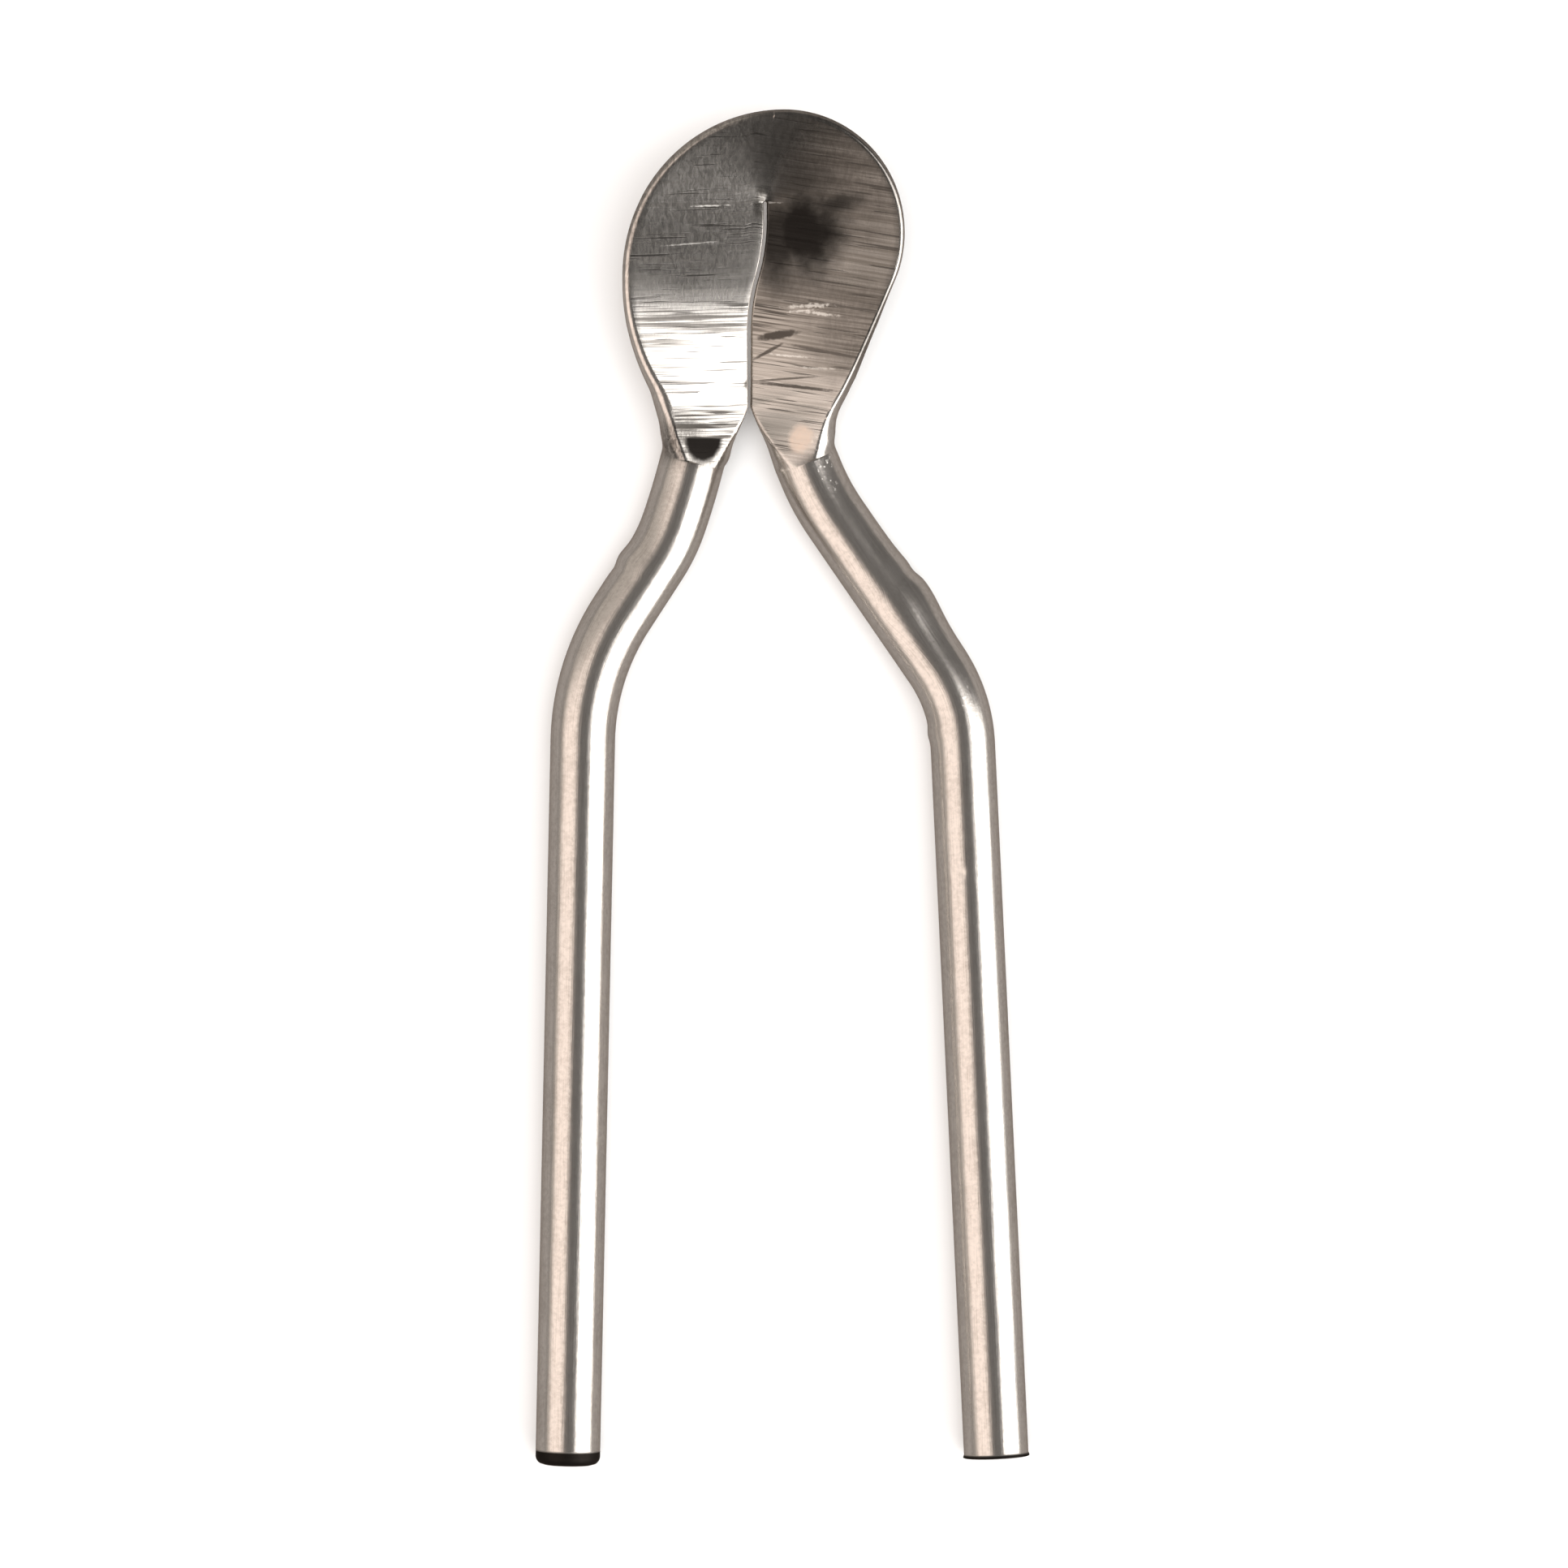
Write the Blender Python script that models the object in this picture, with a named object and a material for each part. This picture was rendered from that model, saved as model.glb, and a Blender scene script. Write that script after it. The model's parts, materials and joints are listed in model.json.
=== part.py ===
"""Spring nutcracker bent from one round steel bar.

The middle of the bar is pressed flat and wrapped into a dished hood. The hood is the spring, the
two limbs meet at the fulcrum below it, and the nut is cracked between the two arms of the bar.

Everything is drawn in the tool's own plane first: the fulcrum is the origin, +X is to the right,
+Y points up the hood and +Z points out of the hollow of the hood. The tool is then laid down on
the bottom of the hood and on both leg ends. Lengths are in metres and angles in degrees.
"""
import math
from dataclasses import dataclass

import bmesh
import bpy
from mathutils import Matrix, Vector

# The bar and the plate that it is pressed into
BAR_DIAMETER = 0.0080
PLATE_THICKNESS = 0.0016
PLATE_CORNER = 0.0007
STEP_START = 0.0018         # round bar left above the joint line before the press step
STEP_LENGTH = 0.0018
STEP_THICKNESS = 0.0058     # between the two press faces just past the step
TAPER_LENGTH = 0.0045       # over which most of that extra thickness runs out
LEFT_LEG_LENGTH = 0.0897
RIGHT_LEG_LENGTH = 0.0883

# The hood
SLIT_WIDTH = 0.0003         # between the front corners of the two leaves
HOOD_LEAN = 11.5            # degrees that the hood rises out of the plane of the arms
RIM_HEIGHT = 0.0020         # above the leaning plane
RIM_FALL = 0.0006           # where the leaves flatten out halfway up
RIM_ARCH = 0.0004           # climb of the rim over the crown
CREASE_DEPTH_LEFT = 0.0022  # bottom of the hollow, below the leaning plane
CREASE_DEPTH_RIGHT = 0.0029
CREASE_RISE_LEFT = 0.0011   # where the leaves flatten out halfway up
CREASE_RISE_RIGHT = 0.0013
DISHED = 0.40               # how far up the leaf the dish is full, as a share
FLATTENING = (0.54, 0.74)   # shares between which the leaf flattens out
LEFT_ROLL = 0.0013          # half of the height across the left leaf where it leaves the bar
RIGHT_ROLL = 0.0002

# Making
PIECE_GAP = 0.0003
BAR_SIDES_RESOLUTION = 6
BEND_STEP = 2.5
SECTION_POINTS_PER_CORNER = 4
STATION_SPACING = 0.0012

STEEL = {"color": (0.52, 0.49, 0.46, 1.0), "metallic": 1.0, "roughness": 0.32}
PRESSED_STEEL = {"color": (0.44, 0.42, 0.40, 1.0), "metallic": 1.0, "roughness": 0.24}


@dataclass
class Move:
    """A straight, then a bend; a positive turn goes clockwise."""

    straight: float
    turn: float = 0.0
    radius: float = 0.0

    @property
    def bend_length(self):
        return abs(math.radians(self.turn)) * self.radius

    @property
    def length(self):
        return self.straight + self.bend_length


# Arms, from the pressed plate down to the leg ends; a positive turn leans the arm further out
LEFT_ARM = [
    Move(0.0, 4.0, 0.090),
    Move(0.0, 14.0, 0.0228),
    Move(0.0074, -31.8, 0.030),
    Move(LEFT_LEG_LENGTH),
]
RIGHT_ARM = [
    Move(0.0, 12.0, 0.0295),
    Move(0.0220, -31.8, 0.019),
    Move(RIGHT_LEG_LENGTH),
]

# Outer edge of the hood, from the left arm over the top to the right arm
RIM_START = (-0.01146, -0.00846)
RIM_HEADING = 15.0
RIM_LEFT = [
    Move(0.0, -42.0, 0.0147),
    Move(0.0, 27.0, 0.0275),
    Move(0.0, 90.0, 0.0198),
]
RIM_RIGHT = [
    Move(0.0, 114.0, 0.0146),
    Move(0.01525, -46.5, 0.00987),
]

# The slit between the leaves: its open end lies just below the fulcrum
SLIT_OPEN_END = (-0.0002, -0.0012)
SLIT_LOWER = 0.0088
SLIT_SWAY = 16.5
SLIT_SWAY_RADIUS = 0.0243
SLIT_UPPER = 0.0020
FULCRUM_CORNER = 0.0005


def total(moves):
    """Length of a run of moves."""
    return sum(move.length for move in moves)


class Run:
    """A flat path of straights and bends, measured along its length."""

    def __init__(self, start, heading, moves):
        self.start = Vector(start)
        self.heading = math.radians(heading)
        self.moves = moves
        self.length = total(moves)

    def at(self, distance):
        """Point and heading after a distance; past either end the path goes straight on."""
        point, heading = self.start.copy(), self.heading
        left = distance
        for move in self.moves:
            step = min(left, move.straight)
            point += step * direction(heading)
            left -= step
            if left <= 0.0:
                return point, heading
            step = min(left, move.bend_length)
            if step > 0.0:
                side = math.copysign(1.0, move.turn)
                centre = point + side * move.radius * across(heading)
                heading += side * step / move.radius
                point = centre - side * move.radius * across(heading)
                left -= step
            if left <= 0.0:
                return point, heading
        return point + left * direction(heading), heading

    def stops(self):
        """Distances that keep the bends round: the ends, and every few degrees of each bend."""
        distances, done = [0.0], 0.0
        for move in self.moves:
            if move.straight > 0.0:
                done += move.straight
                distances.append(done)
            count = math.ceil(abs(move.turn) / BEND_STEP)
            for index in range(count):
                distances.append(done + move.bend_length * (index + 1) / count)
            done += move.bend_length
        return distances


def direction(heading):
    """Unit vector for a heading, clockwise from +Y."""
    return Vector((math.sin(heading), math.cos(heading)))


def across(heading):
    """Unit vector to the right of a heading."""
    return Vector((math.cos(heading), -math.sin(heading)))


def smooth(value):
    """Ease from 0 to 1."""
    value = min(max(value, 0.0), 1.0)
    return value * value * (3.0 - 2.0 * value)


def mix(first, second, share):
    """Value between two others."""
    return first + (second - first) * share


def level_crossing(run, level, below, above):
    """Distance at which a run crosses a height, between one distance below it and one above."""
    for _ in range(40):
        middle = (below + above) / 2
        if run.at(middle)[0].y < level:
            below = middle
        else:
            above = middle
    return middle


class Strip:
    """The pressed plate as a run of sections from the left arm to the right arm."""

    def __init__(self):
        self.rim = Run(RIM_START, RIM_HEADING, RIM_LEFT + RIM_RIGHT)
        self.length = self.rim.length
        self.left_arm = self.arm_top(0.0)
        self.right_arm = self.arm_top(self.length)
        self.crease = self.crease_run()
        top, slit_end = total(RIM_LEFT), self.crease.at(self.up)[0].y
        self.left_flank = level_crossing(self.rim, slit_end, 0.0, top)
        self.right_flank = level_crossing(self.rim, slit_end, self.length, top)

    def arm_top(self, distance):
        """Middle of the round bar at one end of the rim, and the rim's heading there."""
        point, heading = self.rim.at(distance)
        return point + BAR_DIAMETER / 2 * across(heading), heading

    def arm_edges(self, distance):
        """Both edges of the round bar, carried straight on into the plate."""
        if distance < self.length / 2:
            (top, heading), along = self.left_arm, distance
        else:
            (top, heading), along = self.right_arm, distance - self.length
        centre = top + along * direction(heading)
        reach = BAR_DIAMETER / 2 * across(heading)
        return centre - reach, centre + reach

    def crease_run(self):
        """Inner edge: from the left arm up the slit, round its closed end and down again."""
        left_inner, right_inner = self.arm_edges(0.0)[1], self.arm_edges(self.length)[1]
        half = Vector((SLIT_WIDTH / 2, 0.0))
        rising = Vector(SLIT_OPEN_END) - half - left_inner
        falling = right_inner - Vector(SLIT_OPEN_END) - half
        lean_in = math.degrees(math.atan2(rising.x, rising.y))
        lean_out = math.degrees(math.atan2(falling.x, -falling.y))
        slit_up = [
            Move(SLIT_LOWER, SLIT_SWAY, SLIT_SWAY_RADIUS),
            Move(0.0, -SLIT_SWAY, SLIT_SWAY_RADIUS),
            Move(SLIT_UPPER),
        ]
        slit_down = [
            Move(SLIT_UPPER, SLIT_SWAY, SLIT_SWAY_RADIUS),
            Move(0.0, -SLIT_SWAY, SLIT_SWAY_RADIUS),
            Move(SLIT_LOWER, -lean_out, FULCRUM_CORNER),
        ]
        rise = [Move(rising.length, -lean_in, FULCRUM_CORNER)] + slit_up
        turn = [Move(0.0, 180.0, SLIT_WIDTH / 2)]
        fall = slit_down + [Move(falling.length)]
        self.up, self.turn, self.down = total(rise), total(turn), total(fall)
        return Run(left_inner, lean_in, rise + turn + fall)

    def crease_distance(self, distance):
        """Distance along the inner edge that a section shares with one along the rim."""
        if distance < self.left_flank:
            return self.up * distance / self.left_flank
        if distance < self.right_flank:
            crown = (distance - self.left_flank) / (self.right_flank - self.left_flank)
            return self.up + self.turn * crown
        fallen = (distance - self.right_flank) / (self.length - self.right_flank)
        return self.up + self.turn + self.down * fallen

    def heights(self, distance):
        """Heights of the plate at the rim and at the crease, over the leaning plane."""
        if distance < self.length / 2:
            climb = distance / self.left_flank
            roll, depth, rise = LEFT_ROLL, CREASE_DEPTH_LEFT, CREASE_RISE_LEFT
        else:
            climb = (self.length - distance) / (self.length - self.right_flank)
            roll, depth, rise = RIGHT_ROLL, CREASE_DEPTH_RIGHT, CREASE_RISE_RIGHT
        crown = (distance - self.left_flank) / (self.right_flank - self.left_flank)
        arch = math.sin(math.pi * min(max(crown, 0.0), 1.0))
        dished = smooth(climb / DISHED)
        flattened = smooth((climb - FLATTENING[0]) / (FLATTENING[1] - FLATTENING[0]))
        rim = mix(roll, RIM_HEIGHT, dished) - RIM_FALL * flattened + RIM_ARCH * arch
        crease = -mix(roll, depth, dished) + rise * flattened
        if 0.0 < crown < 1.0:
            left, right = CREASE_DEPTH_LEFT - CREASE_RISE_LEFT, CREASE_DEPTH_RIGHT - CREASE_RISE_RIGHT
            crease = -mix(left, right, smooth(crown))
        return rim, crease

    def thickness(self, distance):
        """Thickness at a distance, and how much of the bar's extra thickness is left there."""
        from_arm = min(distance, self.length - distance)
        pressed = smooth((from_arm - STEP_START) / STEP_LENGTH)
        past_step = max(from_arm - STEP_START - STEP_LENGTH, 0.0)
        extra = (STEP_THICKNESS - PLATE_THICKNESS) * math.exp(-past_step / TAPER_LENGTH)
        thickness = mix(BAR_DIAMETER, PLATE_THICKNESS + extra, pressed)
        return thickness, (thickness - PLATE_THICKNESS) / (BAR_DIAMETER - PLATE_THICKNESS)

    def edges(self, distance):
        """Edges of a section at the rim and at the crease.

        They run through the middle of the round bar and through the front face of the thin plate.
        """
        from_arm = min(distance, self.length - distance)
        pressed = smooth((from_arm - STEP_START) / STEP_LENGTH)
        thickness, bar_share = self.thickness(distance)
        arm_rim, arm_crease = self.arm_edges(distance)
        rim_height, crease_height = self.heights(distance)
        lift = (1.0 - bar_share) * thickness / 2
        rim = mix(arm_rim, self.rim.at(distance)[0], pressed)
        crease = mix(arm_crease, self.crease.at(self.crease_distance(distance))[0], pressed)
        lean = math.tan(math.radians(HOOD_LEAN))
        rim_height += lean * (rim.y - RIM_START[1])
        crease_height += lean * (crease.y - RIM_START[1])
        return (Vector((*rim, pressed * rim_height + lift)),
                Vector((*crease, pressed * crease_height + lift)))

    def section(self, distance):
        """Closed ring of points across the plate at a distance along the rim."""
        rim, crease = self.edges(distance)
        nudge = STATION_SPACING / 2
        ahead, behind = self.edges(distance + nudge), self.edges(distance - nudge)
        along = (ahead[0] + ahead[1] - behind[0] - behind[1]).normalized()
        reach = (rim - crease).normalized()
        normal = along.cross(reach).normalized()
        thickness, bar_share = self.thickness(distance)
        middle = (rim + crease) / 2 - (1.0 - bar_share) * thickness / 2 * normal
        corner = mix(PLATE_CORNER, BAR_DIAMETER / 2, bar_share)
        outline = rounded_box((rim - crease).length, thickness, corner)
        return [middle + x * reach + y * normal for x, y in outline]

    def sections(self, first, last):
        """Rings between two distances, evenly spread."""
        count = math.ceil((last - first) / STATION_SPACING)
        return [self.section(mix(first, last, index / count)) for index in range(count + 1)]


def rounded_box(width, height, corner):
    """Points round a box with rounded corners; a corner of half the size makes a circle."""
    corner = min(corner, width / 2, height / 2)
    points = []
    for quarter in range(4):
        sign_x = 1.0 if quarter in (0, 3) else -1.0
        sign_y = 1.0 if quarter in (0, 1) else -1.0
        centre = Vector((sign_x * (width / 2 - corner), sign_y * (height / 2 - corner)))
        for index in range(SECTION_POINTS_PER_CORNER):
            share = (index + 0.5) / SECTION_POINTS_PER_CORNER
            angle = math.radians(90.0 * (quarter + share))
            points.append(centre + corner * Vector((math.cos(angle), math.sin(angle))))
    return points


def new_collection(name):
    """Collection in the scene."""
    collection = bpy.data.collections.new(name)
    bpy.context.scene.collection.children.link(collection)
    return collection


def new_material(name, finish):
    """Principled material of one finish."""
    material = bpy.data.materials.new(name)
    material.use_nodes = True
    shader = material.node_tree.nodes["Principled BSDF"]
    shader.inputs["Base Color"].default_value = finish["color"]
    shader.inputs["Metallic"].default_value = finish["metallic"]
    shader.inputs["Roughness"].default_value = finish["roughness"]
    return material


def new_empty(name, collection, parent=None):
    """Empty that carries other objects."""
    empty = bpy.data.objects.new(name, None)
    empty.empty_display_size = BAR_DIAMETER
    empty.parent = parent
    collection.objects.link(empty)
    return empty


def add_arm(name, top, heading, moves, collection, finish):
    """Round arm: a wire along its bend table, from under the plate to the leg's end."""
    run = Run(top, heading, moves)
    curve = bpy.data.curves.new(name, "CURVE")
    curve.dimensions = "3D"
    curve.bevel_depth = BAR_DIAMETER / 2
    curve.bevel_resolution = BAR_SIDES_RESOLUTION
    curve.use_fill_caps = True
    stops = [PIECE_GAP] + [stop for stop in run.stops() if stop > PIECE_GAP]
    spline = curve.splines.new("POLY")
    spline.points.add(len(stops) - 1)
    for point, stop in zip(spline.points, stops):
        point.co = (*run.at(stop)[0], 0.0, 1.0)
    curve.materials.append(new_material(name, finish))
    arm = bpy.data.objects.new(name, curve)
    collection.objects.link(arm)
    return arm


def add_loft(name, rings, collection, finish):
    """Closed solid through a run of rings."""
    mesh = bpy.data.meshes.new(name)
    work = bmesh.new()
    loops = [[work.verts.new(point) for point in ring] for ring in rings]
    for near, far in zip(loops, loops[1:]):
        for index, corner in enumerate(near):
            beside = (index + 1) % len(near)
            work.faces.new((corner, near[beside], far[beside], far[index]))
    work.faces.new(list(reversed(loops[0])))
    work.faces.new(loops[-1])
    bmesh.ops.recalc_face_normals(work, faces=work.faces)
    work.to_mesh(mesh)
    work.free()
    mesh.shade_smooth()
    mesh.set_sharp_from_angle(angle=math.radians(35.0))
    mesh.materials.append(new_material(name, finish))
    solid = bpy.data.objects.new(name, mesh)
    collection.objects.link(solid)
    return solid


def points_of(objects):
    """Every evaluated vertex of some objects, in the tool's plane."""
    graph = bpy.context.evaluated_depsgraph_get()
    points = []
    for item in objects:
        shown = item.evaluated_get(graph)
        mesh = shown.to_mesh()
        points += [vertex.co.copy() for vertex in mesh.vertices]
        shown.to_mesh_clear()
    return points


def lie_down(frame, head, legs):
    """Lay the tool on its leg ends and on whatever touches down next, centred over the origin."""
    low_leg = min(points_of(legs), key=lambda point: (round(point.z, 5), point.y))
    ahead = [point - low_leg for point in points_of(head + legs)]
    slopes = [math.atan2(step.z, step.y) for step in ahead if step.y > BAR_DIAMETER]
    tilt = Matrix.Rotation(-min(slopes), 4, "X")
    turned = [tilt @ point for point in points_of(head + legs)]
    low = [min(point[axis] for point in turned) for axis in range(3)]
    high = [max(point[axis] for point in turned) for axis in range(3)]
    shift = Vector((-(low[0] + high[0]) / 2, -(low[1] + high[1]) / 2, -low[2]))
    frame.matrix_world = Matrix.Translation(shift) @ tilt


def build():
    """Make every piece and lay the tool down."""
    for item in list(bpy.data.objects):
        bpy.data.objects.remove(item, do_unlink=True)
    tool = new_collection("spring_nutcracker")
    strip = Strip()
    left_end, right_end = strip.left_flank - PIECE_GAP, strip.right_flank + PIECE_GAP
    left_leaf = add_loft("left_leaf", strip.sections(0.0, left_end), tool, PRESSED_STEEL)
    hood = add_loft(
        "hood_spring", strip.sections(strip.left_flank, strip.right_flank), tool, PRESSED_STEEL)
    right_leaf = add_loft(
        "right_leaf", strip.sections(right_end, strip.length), tool, PRESSED_STEEL)
    top, heading = strip.left_arm
    left_handle = add_arm(
        "left_handle", top, math.degrees(heading) + 180.0, LEFT_ARM, tool, STEEL)
    top, heading = strip.right_arm
    mirrored = [Move(move.straight, -move.turn, move.radius) for move in RIGHT_ARM]
    right_handle = add_arm("right_handle", top, math.degrees(heading), mirrored, tool, STEEL)
    frame = new_empty("resting_frame", tool)
    fulcrum = new_empty("fulcrum", tool, frame)
    for piece in (left_handle, left_leaf, hood):
        piece.parent = frame
    for piece in (right_handle, right_leaf):
        piece.parent = fulcrum
    bpy.context.view_layer.update()
    lie_down(frame, [left_leaf, hood, right_leaf], [left_handle, right_handle])


build()
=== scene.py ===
"""Looks of a spring nutcracker that is bent from one round steel bar.

The bar's middle is pressed flat and wrapped into a dished hood, and its two ends are the arms and
legs. The pieces here stand in for the plain nodes of the frame, at the same places and sizes:
two leaves and a crown make the hood, and two handles make the arms and legs. Lengths are metres.
"""
from __future__ import annotations

import json
import logging
import math
from dataclasses import dataclass, field
from enum import Enum

import bpy
from mathutils import Matrix, Vector

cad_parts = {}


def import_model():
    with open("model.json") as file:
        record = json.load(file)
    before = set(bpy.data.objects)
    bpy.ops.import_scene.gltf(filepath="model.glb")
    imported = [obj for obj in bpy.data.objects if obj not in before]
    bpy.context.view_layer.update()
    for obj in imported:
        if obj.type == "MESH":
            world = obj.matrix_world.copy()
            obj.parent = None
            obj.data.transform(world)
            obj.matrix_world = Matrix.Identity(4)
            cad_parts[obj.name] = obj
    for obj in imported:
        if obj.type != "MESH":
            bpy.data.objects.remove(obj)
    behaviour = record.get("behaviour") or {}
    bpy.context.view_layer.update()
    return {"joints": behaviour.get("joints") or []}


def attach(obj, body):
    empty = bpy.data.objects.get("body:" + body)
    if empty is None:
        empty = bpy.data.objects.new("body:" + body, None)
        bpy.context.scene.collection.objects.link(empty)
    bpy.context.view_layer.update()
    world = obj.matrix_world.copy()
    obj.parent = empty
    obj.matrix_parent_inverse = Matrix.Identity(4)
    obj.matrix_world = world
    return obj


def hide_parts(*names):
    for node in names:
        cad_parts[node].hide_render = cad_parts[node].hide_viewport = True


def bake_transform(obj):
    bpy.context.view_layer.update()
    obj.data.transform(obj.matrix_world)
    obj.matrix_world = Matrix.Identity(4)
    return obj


LOG = logging.getLogger("nutcracker")
MM = 0.001


class Side(Enum):
    """The two limbs of the tool, seen from above."""

    LEFT = "left"
    RIGHT = "right"


class Finish(Enum):
    """Finish slots of the record; nothing here uses them, as every piece takes the one steel material.
    """

    DRAWN = "drawn_steel"
    PRESSED = "pressed_steel"


def smooth(value: float) -> float:
    """Ease from 0 to 1."""
    value = min(max(value, 0.0), 1.0)
    return value * value * (3.0 - 2.0 * value)


def mix(first: float, second: float, share: float) -> float:
    """Value (or vector) between two others."""
    return first + (second - first) * share


def bump(value: float) -> float:
    """Round hump that is 1 at 0 and fades away past 1."""
    return math.exp(-value * value)


def direction(heading: float) -> Vector:
    """Unit vector for a heading in radians, clockwise from +Y."""
    return Vector((math.sin(heading), math.cos(heading)))


def across(heading: float) -> Vector:
    """Unit vector to the right of a heading."""
    return Vector((math.cos(heading), -math.sin(heading)))


@dataclass(frozen=True)
class Move:
    """A straight, then a bend; a positive turn (degrees) goes clockwise."""

    straight: float
    turn: float = 0.0
    radius: float = 0.0

    @property
    def bend_length(self) -> float:
        """Length of the bend along the middle of the bar."""
        return abs(math.radians(self.turn)) * self.radius

    @property
    def length(self) -> float:
        """Length of the straight and the bend."""
        return self.straight + self.bend_length


def total(moves: list[Move]) -> float:
    """Length of a run of moves."""
    return sum(move.length for move in moves)


class Run:
    """A flat path of straights and bends, measured along its length."""

    def __init__(self, start: Vector, heading: float, moves: list[Move]) -> None:
        """Keep the path.

        Args:
            start: First point in the tool's plane.
            heading: First heading in radians, clockwise from +Y.
            moves: Straights and bends in order.
        """
        self.start = Vector(start)
        self.heading = heading
        self.moves = moves
        self.length = total(moves)

    def at(self, distance: float) -> tuple[Vector, float]:
        """Follow the path; past either end it goes straight on.

        Args:
            distance: How far along the path.

        Returns:
            The point and the heading there.
        """
        point, heading, left = self.start.copy(), self.heading, distance
        for move in self.moves:
            step = min(left, move.straight)
            point += step * direction(heading)
            left -= step
            if left <= 0.0:
                return point, heading
            step = min(left, move.bend_length)
            if step > 0.0:
                side = math.copysign(1.0, move.turn)
                centre = point + side * move.radius * across(heading)
                heading += side * step / move.radius
                point = centre - side * move.radius * across(heading)
                left -= step
            if left <= 0.0:
                return point, heading
        return point + left * direction(heading), heading


@dataclass(frozen=True)
class Spot:
    """Patch or scratch in the tool's plane, in millimetres and degrees."""

    x: float
    y: float
    half_length: float
    half_width: float
    angle: float = 0.0
    soft: float = 0.35
    depth: float = 1.0


@dataclass(frozen=True)
class Mark:
    """Bulge or dent on a handle; the angle is from the top of the bar towards its right side."""

    at: float
    angle: float
    length: float
    spread: float
    rise: float

    def height(self, along: float, angle: float) -> float:
        """How far it moves the surface.

        Args:
            along: Distance along the handle.
            angle: Angle round the bar in degrees.

        Returns:
            Distance outwards.
        """
        turn = (angle - self.angle + 180.0) % 360.0 - 180.0
        return self.rise * bump((along - self.at) / self.length) * bump(turn / self.spread)


@dataclass
class RingPlan:
    """How the corners of one ring round the plate are shared out."""

    front: int = 22
    corner: int = 7
    wall: int = 3
    back: int = 14

    @property
    def count(self) -> int:
        """Points in a ring."""
        return self.front + self.back + 4 * self.corner + 2 * self.wall

    def round_bar(self, radius: float) -> list[Vector]:
        """Points of the round bar, in the same order as the plate's."""
        side = 2 * self.corner + self.wall
        points = []
        for quarter, steps in enumerate((self.front, side, self.back, side)):
            for step in range(steps):
                angle = math.radians(135.0 - 90.0 * (quarter + step / steps))
                points.append(radius * Vector((math.cos(angle), math.sin(angle))))
        return points

    def plate(self, width: float, thickness: float, outer: float, inner: float,
              back: float) -> list[Vector]:
        """Points round the plate, from the crease over the front to the rim and back.

        Args:
            width: From the crease to the rim.
            thickness: From the back to the front.
            outer: Width of the rounding along the rim.
            inner: Width of the rounding along the crease.
            back: Radius of both back corners.

        Returns:
            The ring, about the middle of the section.
        """
        half_w, half_t = width / 2, thickness / 2
        back = min(back, 0.45 * thickness)
        fall_out, fall_in = min(outer, 0.52 * thickness), min(inner, 0.5 * thickness)
        corners = (
            (half_w - outer, half_t - fall_out, outer, fall_out, 90.0),
            (half_w - back, back - half_t, back, back, 0.0),
            (back - half_w, back - half_t, back, back, -90.0),
            (inner - half_w, half_t - fall_in, inner, fall_in, 180.0),
        )
        arcs = []
        for x, y, wide, high, first in corners:
            angles = [math.radians(first - 90.0 * step / self.corner)
                      for step in range(self.corner + 1)]
            arcs.append([Vector((x + wide * math.cos(a), y + high * math.sin(a)))
                         for a in angles])
        points = []
        for index, steps in enumerate((self.front, self.wall, self.back, self.wall)):
            before, after = arcs[index - 1], arcs[index]
            points += [mix(before[-1], after[0], step / steps) for step in range(steps)]
            points += after[:-1]
        return points


@dataclass(frozen=True)
class Border:
    """Round border that the press leaves along one edge of a leaf; it fades away from the bar."""

    thin: float
    extra: float
    fade: float
    hold: float = 4.5 * MM

    def width(self, from_arm: float) -> float:
        """Width at a distance from the arm."""
        return self.thin + self.extra * math.exp(-max(from_arm - self.hold, 0.0) / self.fade)


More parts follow.
